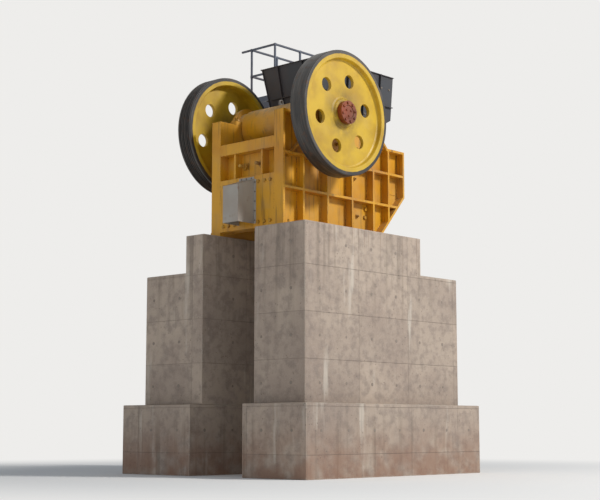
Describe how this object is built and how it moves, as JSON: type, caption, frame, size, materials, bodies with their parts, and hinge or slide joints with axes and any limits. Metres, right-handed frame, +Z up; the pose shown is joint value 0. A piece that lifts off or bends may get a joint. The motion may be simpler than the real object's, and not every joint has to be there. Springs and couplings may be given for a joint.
{
  "type": "jaw crusher on concrete piers",
  "caption": "Jaw crusher with holed flywheels on its shaft, toothed jaws, sloping feed chute and handrailed landing, standing on concrete piers with a conveyor tunnel between them.",
  "frame": {"origin": "middle of the foundation's footprint, at ground level", "axes": "+X from the toggle end towards the feed end, +Y along the shaft towards the side with the landing, +Z up"},
  "size_m": [4.3, 4.19, 7.68],
  "materials": {
    "concrete": "board-marked concrete, rain streaked",
    "yellow_paint": "yellow machine enamel, dusty and worn at the edges",
    "manganese_steel": "cast manganese steel, rubbed bright on the teeth",
    "bare_steel": "turned and weathered steel",
    "grey_sheet": "light grey painted sheet",
    "chute_plate": "dark grey painted plate with rust at the welds",
    "rail_paint": "blue-grey paint",
    "red_primer": "oxide primer"
  },
  "bodies": {
    "crusher": {"near_footing": "concrete", "far_footing": "concrete", "near_pier": "concrete", "far_pier": "concrete", "near_side_wall": "yellow_paint", "far_side_wall": "yellow_paint", "front_wall": "yellow_paint", "rear_wall": "yellow_paint", "near_bearing_housing": "yellow_paint", "far_bearing_housing": "yellow_paint", "near_bearing_cover": "yellow_paint", "far_bearing_cover": "yellow_paint", "near_cheek_plate": "manganese_steel", "far_cheek_plate": "manganese_steel", "fixed_jaw_plate": "manganese_steel", "swing_jaw": "yellow_paint", "swing_jaw_plate": "manganese_steel", "swing_jaw_wedge": "manganese_steel", "lifting_eye": "bare_steel", "toggle_plate": "bare_steel", "toggle_block": "bare_steel", "tension_rod": "bare_steel", "rod_pin": "bare_steel", "tension_spring": "bare_steel", "spring_seat": "bare_steel", "spring_guard": "grey_sheet", "chute_rear_wall": "chute_plate", "chute_near_wall": "chute_plate", "chute_far_wall": "chute_plate", "chute_slide": "chute_plate", "walkway_posts": "rail_paint", "walkway_frame": "rail_paint", "walkway_deck": "rail_paint", "rail_end": "rail_paint", "rail_inner": "rail_paint", "rail_outer": "rail_paint"},
    "rotor": {"eccentric_shaft": "bare_steel", "near_flywheel": "yellow_paint", "far_flywheel": "yellow_paint", "near_clamp_ring": "red_primer", "far_clamp_ring": "red_primer"}
  },
  "joints": [
    {"name": "rotor_spin", "type": "hinge", "parent": "crusher", "child": "rotor", "pos_m": [-0.7, -0.235, 5.66], "axis": [0, 1, 0], "continuous": true}
  ]
}
